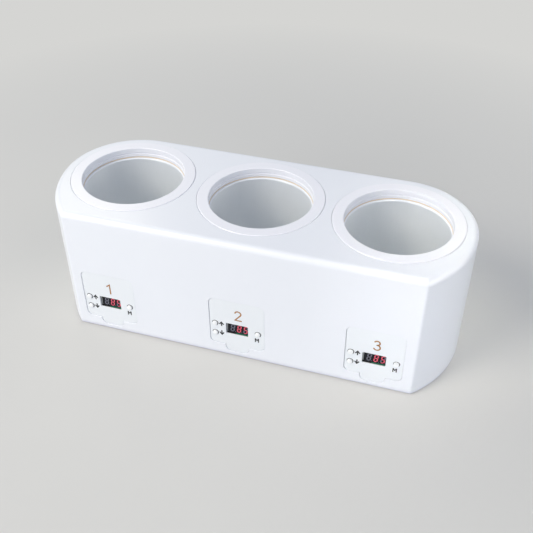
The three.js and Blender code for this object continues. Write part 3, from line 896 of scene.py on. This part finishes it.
def well_cutter(x):
    mouth = [
        (REBATE_RADIUS + EDGE_ROUND - c * EDGE_ROUND, HOUSING_TOP - EDGE_ROUND + s * EDGE_ROUND)
        for c, s in arc(0, 0, 1, 0, 90, FINE_STEPS)
    ]
    lip = [
        (LEDGE_RADIUS + LEDGE_ROUND * (1 - c), LEDGE_TOP - LEDGE_ROUND * (1 - s))
        for c, s in arc(0, 0, 1, 0, 90, ARC_STEPS)
    ]
    low, high = LEDGE_BOTTOM - OVERRUN, HOUSING_TOP + 2 * OVERRUN
    profile = [(0, low), (LEDGE_RADIUS, low), *lip, (LINING_BORE, LEDGE_TOP)]
    profile += [(LINING_BORE, REBATE_FLOOR), (REBATE_RADIUS, REBATE_FLOOR), *mouth]
    profile += [(REBATE_RADIUS + EDGE_ROUND, high), (0, high)]
    return turned("well_cutter", profile, (x, WELL_LINE))


def pocket_cutter(x):
    sections = [(-OVERRUN, -EDGE_ROUND)]
    sections += [(depth, -cut) for depth, cut in near_edge(0, EDGE_ROUND)]
    sections += [(POCKET_DEPTH, 0)]
    loops = [lambda cut: plate_outline(POCKET_GAP - cut)]
    return mesh_piece("pocket_cutter", *layered(loops, sections, to_front(x)))


def opening_cutter(x):
    """The way through the wall behind a panel plate."""
    left, right = x - OPENING_HALF, x + OPENING_HALF
    front = FRONT + OVERRUN
    return block("opening", left, right, front, front + WALL, OPENING_LOW, OPENING_HIGH)


def board_post(x, z):
    profile = [
        (0, BOARD_POST_FRONT),
        (BOARD_POST_RADIUS, BOARD_POST_FRONT),
        (BOARD_POST_RADIUS, BOARD_POST_BACK),
        (BOARD_PIN_RADIUS, BOARD_POST_BACK),
        (BOARD_PIN_RADIUS, BOARD_CAP_FRONT),
        (BOARD_CAP_RADIUS, BOARD_CAP_FRONT),
        (BOARD_CAP_RADIUS, BOARD_CAP_BACK),
        (0, BOARD_CAP_BACK),
    ]
    return turned("board_post", [(r, FRONT + d) for r, d in profile], (x, z), along="y", steps=SMALL_STEPS)


def screw_boss(x, y):
    profile = [(0, BOSS_BORE_TOP), (BOSS_BORE, BOSS_BORE_TOP), (BOSS_BORE, BOSS_LOW)]
    profile += [(BOSS_RADIUS, BOSS_LOW), (BOSS_RADIUS, BOSS_HIGH), (0, BOSS_HIGH)]
    return turned("screw_boss", profile, (x, y), steps=BORE_STEPS)


def make_housing():
    shell = plan_block("housing_shell", 0, SKIRT_BASE, HOUSING_TOP, SKIRT_ROUND, TOP_FILLET)
    inner_top = HOUSING_TOP - TOP_WALL
    hollow = plan_block("hollow", WALL, SKIRT_BASE - OVERRUN, inner_top, 0, TOP_FILLET - WALL)
    columns = [WELLS[side].x for side in SIDES]
    panels = [PANELS[side] for side in SIDES]
    lining_top = inner_top + OVERRUN
    linings = [
        post("lining", x, WELL_LINE, LEDGE_BOTTOM, lining_top, LINING_RADIUS, WIDE_STEPS) for x in columns
    ]
    carve(hollow, linings)
    front, rear = REAR - WALL - OVERRUN, REAR + OVERRUN
    inlet = block("inlet_hole", INLET_LOW_X, INLET_HIGH_X, front, rear, INLET_LOW_Z, INLET_HIGH_Z)
    walls = [opening_cutter(x) for x in panels]
    cutters = [hollow, *[well_cutter(x) for x in columns], *[pocket_cutter(x) for x in panels]]
    carve(shell, [*cutters, *walls, inlet])
    posts = [board_post(x + s * BOARD_POST_X, z) for x in panels for s in (-1, 1) for z in BOARD_POSTS_Z]
    bosses = [screw_boss(*centre_of(f"{corner}_screw").xy) for corner in CORNERS]
    join_pieces(shell, posts + bosses)
    return dress(shell, housing_white, nodes=["housing"], angle=SHELL_ANGLE)


make_housing()


# Wells

for side in SIDES:
    axis = (WELLS[side].x, WELL_LINE)
    collar = turned(
        f"{side}_collar_ring",
        rounded(
            [
                (COLLAR_BORE, COLLAR_BOTTOM, COLLAR_FOOT_INNER),
                (COLLAR_TUBE, COLLAR_BOTTOM, COLLAR_FOOT_OUTER),
                (COLLAR_TUBE, COLLAR_UNDER, 0),
                (COLLAR_RADIUS, COLLAR_UNDER, COLLAR_LIP_ROUND),
                (COLLAR_RADIUS, COLLAR_TOP, COLLAR_RIM),
                (COLLAR_BORE, COLLAR_TOP, COLLAR_MOUTH),
                (COLLAR_BORE, GROOVE_Z + GROOVE_HALF, GROOVE_ROUND),
                (COLLAR_BORE + GROOVE_DEPTH, GROOVE_Z, 0),
                (COLLAR_BORE, GROOVE_Z - GROOVE_HALF, GROOVE_ROUND),
            ]
        ),
        axis,
    )
    dress(collar, collar_white, nodes=[f"{side}_collar"])
    gasket = turned(
        f"{side}_gasket_ring",
        rounded(
            [
                (GASKET_BORE, GASKET_BOTTOM, GASKET_INNER),
                (COLLAR_TUBE, GASKET_BOTTOM, GASKET_OUTER),
                (COLLAR_TUBE, GASKET_TOP, GASKET_OUTER),
                (GASKET_BORE, GASKET_TOP, GASKET_INNER),
            ],
            steps=FINE_STEPS,
        ),
        axis,
    )
    dress(gasket, gasket_tan, nodes=[f"{side}_gasket"])
    pot = turned(
        f"{side}_pot_cup",
        rounded(
            [
                (0, POT_BOTTOM, 0),
                (POT_RADIUS, POT_BOTTOM, POT_BEND),
                (POT_RADIUS, POT_TOP - POT_LIP, POT_NECK_ROUND),
                (POT_FLANGE, POT_TOP - POT_LIP, POT_FLANGE_ROUND),
                (POT_FLANGE, POT_TOP, POT_FLANGE_ROUND),
                (POT_BORE, POT_TOP, POT_MOUTH_ROUND),
                (POT_BORE, POT_FLOOR, POT_BEND - POT_LIP),
                (0, POT_FLOOR, 0),
            ],
            closed=False,
        ),
        axis,
    )
    dress(pot, pot_metal, nodes=[f"{side}_pot"])


# Panels

PANEL_MIDDLE = Vector((PANELS["middle"], 0))
BUTTONS = {use: centre_of(f"middle_{use}_button").xz - PANEL_MIDDLE for use in USES}

# Outlines about their middles
ARROW = [
    (0, 3.3),
    (2.75, -0.2),
    (1.9, -1.2),
    (0.65, 0.2),
    (0.65, -3.2),
    (-0.65, -3.2),
    (-0.65, 0.2),
    (-1.9, -1.2),
    (-2.75, -0.2),
]
LETTER_M = [
    (-2.2, -2.7),
    (-2.2, 2.7),
    (-1.2, 2.7),
    (0, 0.7),
    (1.2, 2.7),
    (2.2, 2.7),
    (2.2, -2.7),
    (1.1, -2.7),
    (1.1, 0.5),
    (0, -1.3),
    (-1.1, 0.5),
    (-1.1, -2.7),
]
# The paths of the numerals 1, 2 and 3 about their middles
NUMERALS = {
    "left": [[(-2.5, 3.5), (0.7, 6), (0.7, -6)]],
    "middle": [[*arc(0, 2.9, 3.1, 165, -38, NUMERAL_STEPS), (-3.2, -6), (3.4, -6)]],
    "right": [
        arc(0, 3.15, 2.65, 150, -90, NUMERAL_STEPS),
        arc(0, -2.75, 3.25, 90, -150, NUMERAL_STEPS),
    ],
}
# The ends of a digit's seven bars, in halves of its width and quarters of its height
BARS = {
    "a": ((-1, 2), (1, 2)),
    "b": ((1, 2), (1, 0)),
    "c": ((1, 0), (1, -2)),
    "d": ((-1, -2), (1, -2)),
    "e": ((-1, 0), (-1, -2)),
    "f": ((-1, 2), (-1, 0)),
    "g": ((-1, 0), (1, 0)),
}
# The bars lit in each of the three digits, for 85
LIT_BARS = ("", "abcdefg", "acdfg")


def moved(outline, x, z, flip=1):
    return [(x + u, z + flip * v) for u, v in outline]


def bar_outline(centre, ends):
    """One slanted bar of a digit, with pointed ends."""
    start, end = (Vector((u * DIGIT_HALF, v * DIGIT_RISE / 2)) for u, v in ends)
    along = (end - start).normalized()
    across = Vector((-along.y, along.x)) * BAR_HALF
    start += along * BAR_GAP
    end -= along * BAR_GAP
    tip = along * BAR_HALF
    corners = [start, start + tip + across, end - tip + across, end, end - tip - across, start + tip - across]
    return [(centre + p.x + p.y * DIGIT_LEAN, DIGIT_Z + p.y) for p in corners]


def make_plate(side, x):
    loops = [lambda cut: plate_outline(-cut)]
    holes = [place + HOLE_OFFSET for place in BUTTONS.values()]
    loops += [lambda cut, hole=hole: circle(*hole, BUTTON_HOLE + cut) for hole in holes]
    half = WINDOW_WIDTH / 2
    loops += [lambda cut: box_outline(-half, half, WINDOW_LOW, WINDOW_HIGH, WINDOW_CORNER, cut)]
    plate = sheet(f"{side}_panel", loops, PLATE_FRONT, PLATE_BACK, to_front(x))
    dress(plate, panel_white, nodes=[f"{side}_panel_plate"])
    low = WINDOW_LOW - RIM_DROP
    loops = [
        lambda cut: box_outline(-half, half, low, WINDOW_HIGH, WINDOW_CORNER, RIM_WIDTH - cut),
        lambda cut: box_outline(-half, half, low, WINDOW_HIGH, WINDOW_CORNER, cut),
    ]
    front, back = PLATE_BACK + RIM_GAP, DISPLAY_FRONT - RIM_GAP
    rim = sheet(f"{side}_window_rim", loops, front, back, to_front(x), RIM_GAP, RIM_GAP)
    dress(rim, panel_white)


def make_marks(side, x):
    front, back = PLATE_FRONT - INK_PROUD, PLATE_FRONT + INK_SUNK
    marks = [
        moved(ARROW, ARROW_X, ARROW_UP_Z),
        moved(ARROW, ARROW_X, ARROW_DOWN_Z, -1),
        moved(LETTER_M, LETTER_X, LETTER_Z),
    ]
    dress(prism(f"{side}_marks", marks, front, back, to_front(x)), ink_dark)
    lines = [moved(stroke(path, NUMERAL_HALF), NUMERAL_X, NUMERAL_Z) for path in NUMERALS[side]]
    dress(prism(f"{side}_numeral", lines, front, back, to_front(x)), ink_bronze)


def make_display(side, x):
    def part(name, outline, front, back, material, nodes=()):
        made = sheet(f"{side}_{name}", [outline], front, back, to_front(x), DISPLAY_EDGE, DISPLAY_BACK_EDGE)
        return dress(made, material, nodes=nodes)

    half, low, high = DISPLAY_HALF, DISPLAY_LOW, DISPLAY_HIGH
    case_front = DISPLAY_FRONT + CASE_SETBACK
    part(
        "display_case",
        lambda cut: box_outline(-half, half, low, high, CASE_CORNER, -cut),
        case_front,
        DISPLAY_BACK,
        case_grey,
        nodes=[f"{side}_display"],
    )
    part(
        "display_face",
        lambda cut: box_outline(-FACE_REACH, half, low, high, FACE_CORNER, -cut),
        DISPLAY_FRONT,
        case_front + FACE_OVERLAP,
        face_black,
    )
    part(
        "display_header",
        lambda cut: box_outline(-half, HEADER_REACH, HEADER_LOW, low - HEADER_DROP, HEADER_CORNER, -cut),
        HEADER_FRONT,
        DISPLAY_BACK,
        header_black,
    )
    part(
        "display_carrier",
        lambda cut: box_outline(CARRIER_START, half, HEADER_LOW, low - CARRIER_DROP, CARRIER_CORNER, -cut),
        CARRIER_FRONT,
        CARRIER_BACK,
        board_green,
    )
    lit, dark = [], []
    for centre, bars in zip(DIGIT_PLACES, LIT_BARS):
        for name, ends in BARS.items():
            (lit if name in bars else dark).append(bar_outline(centre, ends))
        dark.append(circle(centre + DOT_X, DIGIT_Z - DIGIT_RISE, DOT_RADIUS, DOT_STEPS))
    front, back = DISPLAY_FRONT - BAR_PROUD, DISPLAY_FRONT + BAR_SUNK
    dress(prism(f"{side}_lit_bars", lit, front, back, to_front(x)), segment_lit)
    dress(prism(f"{side}_dark_bars", dark, front, back, to_front(x)), segment_dark)


def make_button(side, use, x):
    place = BUTTONS[use]
    rim = BUTTON_FRONT + BUTTON_DOME
    dome = [(BUTTON_RADIUS * s, rim - BUTTON_DOME * c) for c, s in arc(0, 0, 1, 0, 90, DOME_STEPS)]
    profile = [
        *dome,
        (BUTTON_RADIUS, FLANGE_FRONT),
        (BUTTON_FLANGE, FLANGE_FRONT),
        (BUTTON_FLANGE, FLANGE_BACK),
        (BUTTON_RADIUS, FLANGE_BACK),
        (BUTTON_RADIUS, BUTTON_BACK),
        (0, BUTTON_BACK),
    ]
    cap = turned(
        f"{side}_{use}_cap",
        [(radius, FRONT + depth) for radius, depth in profile],
        (x + place.x, place.y),
        along="y",
        steps=BUTTON_STEPS,
    )
    dress(cap, button_white, body=f"{side}_{use}", nodes=[f"{side}_{use}_button"])
    # A dark ring in the gap between the cap and its hole, as painted shade for the gap's shadow
    loops = [
        lambda cut: circle(*(place + HOLE_OFFSET), BUTTON_HOLE - SHADE_RING_GAP - cut),
        lambda cut: circle(*place, BUTTON_RADIUS + SHADE_RING_GAP + cut),
    ]
    name = f"{side}_{use}_shroud"
    rounds = (SHADE_RING_ROUND, SHADE_RING_ROUND / 2)
    painted_shade_ring = sheet(name, loops, SHADE_RING_FRONT, SHADE_RING_BACK, to_front(x), *rounds)
    dress(painted_shade_ring, painted_shade_dark)


for side in SIDES:
    station = PANELS[side]
    make_plate(side, station)
    make_marks(side, station)
    make_display(side, station)
    for use in USES:
        make_button(side, use, station)


# Underside

base = plan_block("base_cover", BASE_INSET, HOUSING_BASE, BASE_TOP, BASE_LOW_EDGE, BASE_HIGH_EDGE)
cutters = []
low, high = HOUSING_BASE - OVERRUN, BASE_TOP + OVERRUN
for side in SIDES:
    for row in VENT_ROWS:
        x, y = WELLS[side].x, WELL_LINE + VENT_PITCH * row
        y_low, y_high = y - VENT_HALF_WIDTH, y + VENT_HALF_WIDTH
        slot = box_outline(x - VENT_HALF_LENGTH, x + VENT_HALF_LENGTH, y_low, y_high, VENT_ROUND)
        cutters.append(prism("vent", [slot], low, high, to_ground))
for corner in CORNERS:
    x, y = centre_of(f"{corner}_foot").xy
    cutters.append(post("recess", x, y, 0, HOUSING_BASE + FOOT_RECESS, FOOT_RADIUS + FOOT_GAP))
    x, y = centre_of(f"{corner}_screw").xy
    cutters.append(post("screw_hole", x, y, 0, high, SCREW_HOLE, SMALL_STEPS))
    cutters.append(post("screw_seat", x, y, SCREW_SEAT_LOW, SCREW_SEAT_TOP, SCREW_SEAT_RADIUS, BORE_STEPS))
carve(base, cutters)
supports = []
for side in SIDES:
    for quarter in range(4):
        turn = math.radians(45 + 90 * quarter)
        x = WELLS[side].x + SUPPORT_CIRCLE * math.cos(turn)
        y = WELL_LINE + SUPPORT_CIRCLE * math.sin(turn)
        root = BASE_TOP - SUPPORT_ROOT
        supports.append(post("support", x, y, root, SUPPORT_TOP, SUPPORT_RADIUS, BORE_STEPS))
join_pieces(base, supports)
dress(base, base_white, nodes=["base_plate"], angle=BASE_ANGLE)

for corner in CORNERS:
    foot = turned(
        f"{corner}_pad",
        rounded(
            [
                (0, FOOT_DISH, 0),
                (FOOT_DISH_RADIUS, FOOT_DISH, FOOT_DISH_ROUND),
                (FOOT_RING_RADIUS, 0, FOOT_DISH_ROUND),
                (FOOT_RADIUS, 0, FOOT_LOW_ROUND),
                (FOOT_RADIUS, FOOT_TOP, FOOT_TOP_ROUND),
                (0, FOOT_TOP, 0),
            ],
            closed=False,
            steps=FINE_STEPS,
        ),
        centre_of(f"{corner}_foot").xy,
        steps=BUTTON_STEPS,
    )
    dress(foot, foot_rubber, nodes=[f"{corner}_foot"])
    x, y = centre_of(f"{corner}_screw").xy
    screw = turned(
        f"{corner}_screw_body",
        rounded(
            [
                (0, SCREW_HEAD_LOW, 0),
                (SCREW_HEAD_RADIUS, SCREW_HEAD_LOW, SCREW_HEAD_ROUND),
                (SCREW_HEAD_RADIUS, SCREW_HEAD_SIDE, 0),
                (SCREW_RADIUS, SCREW_HEAD_TOP, 0),
                (SCREW_RADIUS, SCREW_POINT, 0),
                (0, SCREW_END, 0),
            ],
            closed=False,
            steps=FINE_STEPS,
        ),
        (x, y),
        steps=ROUND_STEPS,
    )
    slots = [
        block("slot", x - across, x + across, y - along, y + along, CROSS_LOW, CROSS_HIGH)
        for across, along in ((CROSS_HALF, CROSS_THIN_HALF), (CROSS_THIN_HALF, CROSS_HALF))
    ]
    carve(screw, slots)
    dress(screw, screw_metal, nodes=[f"{corner}_screw"], angle=BASE_ANGLE)


# Mains inlet


def to_rear(u, v, depth):
    """Turns an inlet's (x, z, depth) about its own axis into a point of the model."""
    return (INLET_X + u, INLET_REAR - depth, INLET_Z + v)


def cavity_outline(grow):
    half, tall = CAVITY_HALF + grow, CAVITY_TALL + grow
    return rounded(
        [
            (half, -tall, CAVITY_CORNER),
            (half, tall - KEY_CUT, KEY_ROUND),
            (half - KEY_CUT, tall, KEY_ROUND),
            (KEY_CUT - half, tall, KEY_ROUND),
            (-half, tall - KEY_CUT, KEY_ROUND),
            (-half, -tall, CAVITY_CORNER),
        ],
        steps=FINE_STEPS,
    )


half, tall = INLET_FLANGE_HALF, INLET_FLANGE_TALL
inlet = sheet(
    "inlet_socket_body",
    [lambda cut: box_outline(-half, half, -tall, tall, INLET_FLANGE_CORNER, -cut)],
    0,
    INLET_FLANGE_DEPTH,
    to_rear,
    INLET_FLANGE_EDGE,
    INLET_FLANGE_BACK_EDGE,
)
half, tall = INLET_BODY_HALF, INLET_BODY_TALL
outline = box_outline(-half, half, -tall, tall, INLET_BODY_CORNER)
body = prism("inlet_body", [outline], INLET_BODY_FRONT, INLET_BODY_DEPTH, to_rear)
carve(inlet, [body], "UNION")
sections = [(-OVERRUN, -CAVITY_EDGE)]
sections += [(depth, -cut) for depth, cut in near_edge(0, CAVITY_EDGE)]
sections += [(CAVITY_DEPTH, 0)]
cavity = mesh_piece("cavity", *layered([lambda cut: cavity_outline(-cut)], sections, to_rear))
carve(inlet, [cavity])
dress(inlet, inlet_black, nodes=["mains_inlet"], angle=SHELL_ANGLE)

for pole in ("live", "earth", "neutral"):
    place = centre_of(f"{pole}_blade")
    u, v = place.x - INLET_X, place.z - INLET_Z
    edges = (u - BLADE_HALF, u + BLADE_HALF, v - BLADE_TALL, v + BLADE_TALL)
    blade = sheet(
        f"{pole}_contact",
        [lambda cut: box_outline(*edges, BLADE_CORNER, -cut)],
        BLADE_FRONT,
        BLADE_BACK,
        to_rear,
        BLADE_TIP,
        BLADE_BACK_EDGE,
    )
    dress(blade, blade_metal, nodes=[f"{pole}_blade"])


# CAD pieces that stay as they are

KEPT = {
    "heating_band": band_red,
    "temperature_sensor": sensor_metal,
    "control_board": board_green,
    "relay": relay_blue,
    "up_switch": header_black,
    "down_switch": header_black,
    "mode_switch": header_black,
}
for side in SIDES:
    for part, material in KEPT.items():
        paint(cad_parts[f"{side}_{part}"], material)
paint(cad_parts["wiring"], cable_grey)


# Floor, lights and camera

BACKDROP = srgb(213, 213, 211)
# Within the first radius the floor shows shadows, and by the second it has faded into the backdrop
SHADOW_NEAR = 0.3
SHADOW_FAR = 0.8
PAPER_GLOW = 0.3
FLOOR_RADIUS = 9000
FLOOR_LEVEL = -0.05


def seen_directly(tree):
    """One where a ray comes from the camera, a reflection or a clear material, and zero elsewhere."""
    rays = tree.nodes.new("ShaderNodeLightPath")
    total = rays.outputs["Is Camera Ray"]
    for name in ("Is Glossy Ray", "Is Transmission Ray"):
        step = tree.nodes.new("ShaderNodeMath")
        step.operation = "MAXIMUM"
        tree.links.new(total, step.inputs[0])
        tree.links.new(rays.outputs[name], step.inputs[1])
        total = step.outputs[0]
    return total


def mix_shaders(tree, share, first, second):
    """Two shaders mixed, with the second shown by the share given."""
    mix = tree.nodes.new("ShaderNodeMixShader")
    for socket, value in zip(mix.inputs, (share, first, second)):
        tree.links.new(value, socket)
    return mix.outputs[0]


def make_floor():
    m = Nodes("floor_paper")
    fibre = m.noise(FIBRE_SCALE, 4)
    shown = m.ramp(fibre, [(0.35, tint(BACKDROP, 0.995)), (0.65, tint(BACKDROP, 1.005))])
    m.put(shown, "Base Color")
    m.put(m.between(fibre, 0.85, 0.95), "Roughness")
    m.put(0.1, "Specular IOR Level")
    distance = m.node("ShaderNodeVectorMath", {"operation": "LENGTH"})
    m.feed(distance.inputs[0], m.place)
    glow = m.between(distance.outputs["Value"], PAPER_GLOW, 1, SHADOW_NEAR, SHADOW_FAR)
    share = m.calculate("MULTIPLY", glow, seen_directly(m.tree))
    paper = m.node("ShaderNodeEmission", Color=(*BACKDROP, 1), Strength=1.0)
    mixed = mix_shaders(m.tree, share, m.shader.outputs[0], paper.outputs[0])
    m.feed(m.tree.nodes["Material Output"].inputs["Surface"], mixed)
    floor = turned("floor", [(0, FLOOR_LEVEL), (FLOOR_RADIUS, FLOOR_LEVEL)], (0, 0), steps=WIDE_STEPS)
    paint(floor, m.material)
    floor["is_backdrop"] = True


def make_world():
    world = bpy.data.worlds.new("studio")
    bpy.context.scene.world = world
    world.use_nodes = True
    tree = world.node_tree
    tree.nodes.clear()
    output = tree.nodes.new("ShaderNodeOutputWorld")
    skies = []
    for colour, strength in ((WORLD_COLOUR, WORLD_STRENGTH), (BACKDROP, 1)):
        sky = tree.nodes.new("ShaderNodeBackground")
        sky.inputs["Color"].default_value = (*colour, 1)
        sky.inputs["Strength"].default_value = strength
        skies.append(sky.outputs[0])
    mixed = mix_shaders(tree, seen_directly(tree), *skies)
    tree.links.new(mixed, output.inputs["Surface"])


def aimed(obj, place, target):
    obj.location = place
    obj.rotation_euler = (Vector(target) - Vector(place)).to_track_quat("-Z", "Y").to_euler()
    bpy.context.scene.collection.objects.link(obj)


WORLD_COLOUR = (0.56, 0.71, 1)
WORLD_STRENGTH = 0.35
# Name, place, what it is aimed at, width, spread in degrees, watts and colour of each round soft box
LIGHTS = [
    ("key", (-1.5, -1.7, 2.1), (-0.05, 0, 0.08), 1.5, 180, 65, (1, 0.93, 0.8)),
    ("fill", (1.6, -1, 2.2), (0.1, 0, 0.08), 1.2, 180, 9.2, (1, 0.86, 0.76)),
    ("front_left", (-1.4, -2, 0.9), (0, 0, 0.08), 1, 180, 11.4, (1, 1, 1)),
    ("right_side", (2.2, 0.2, 0.6), (0, 0, 0.08), 1.2, 180, 12.7, (1, 0.97, 0.85)),
    ("left_back", (-0.55, 0.45, 0.7), (-0.18, 0, 0.14), 0.35, 70, 0.14, (1, 0.95, 0.75)),
    ("right_front", (0.3, -0.9, 0.5), (0.19, -0.08, 0.09), 0.1, 16, 0.013, (1, 1, 1)),
    ("right_top", (0.25, -0.3, 0.9), (0.2, 0, 0.148), 0.15, 16, 0.022, (1, 0.92, 0.7)),
]


def make_lights():
    for name, place, target, width, spread, power, colour in LIGHTS:
        data = bpy.data.lights.new(name, "AREA")
        data.shape = "DISK"
        data.size = width
        data.spread = math.radians(spread)
        data.energy = power
        data.color = colour
        aimed(bpy.data.objects.new(name, data), place, target)


make_floor()
make_world()
make_lights()

# The photograph's camera: its place, its turn about Z, how far it looks down, its roll, its field
# and its nearest distance
CAMERA_PLACE = (0.2023, -0.63235, 0.6045)
CAMERA_AZIMUTH = 17.215
CAMERA_ELEVATION = 39.382
CAMERA_ROLL = 0.1685
FOCAL_PIXELS = 797.72
IMAGE_PIXELS = 533
SENSOR_WIDTH = 36
CLIP_START = 0.01

turn, rise = math.radians(CAMERA_AZIMUTH), math.radians(CAMERA_ELEVATION)
back = Vector((math.sin(turn) * math.cos(rise), -math.cos(turn) * math.cos(rise), math.sin(rise)))
right = Vector((math.cos(turn), math.sin(turn), 0))
up = back.cross(right)
pose = Matrix((right, up, back)).transposed() @ Matrix.Rotation(math.radians(-CAMERA_ROLL), 3, "Z")
lens = bpy.data.cameras.new("photograph")
lens.sensor_width = SENSOR_WIDTH
lens.lens = FOCAL_PIXELS / IMAGE_PIXELS * SENSOR_WIDTH
lens.clip_start = CLIP_START
camera = bpy.data.objects.new("photograph", lens)
camera.matrix_world = Matrix.Translation(CAMERA_PLACE) @ pose.to_4x4()
bpy.context.scene.collection.objects.link(camera)
bpy.context.scene.camera = camera
bpy.context.scene.view_settings.view_transform = "Standard"

low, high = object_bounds()
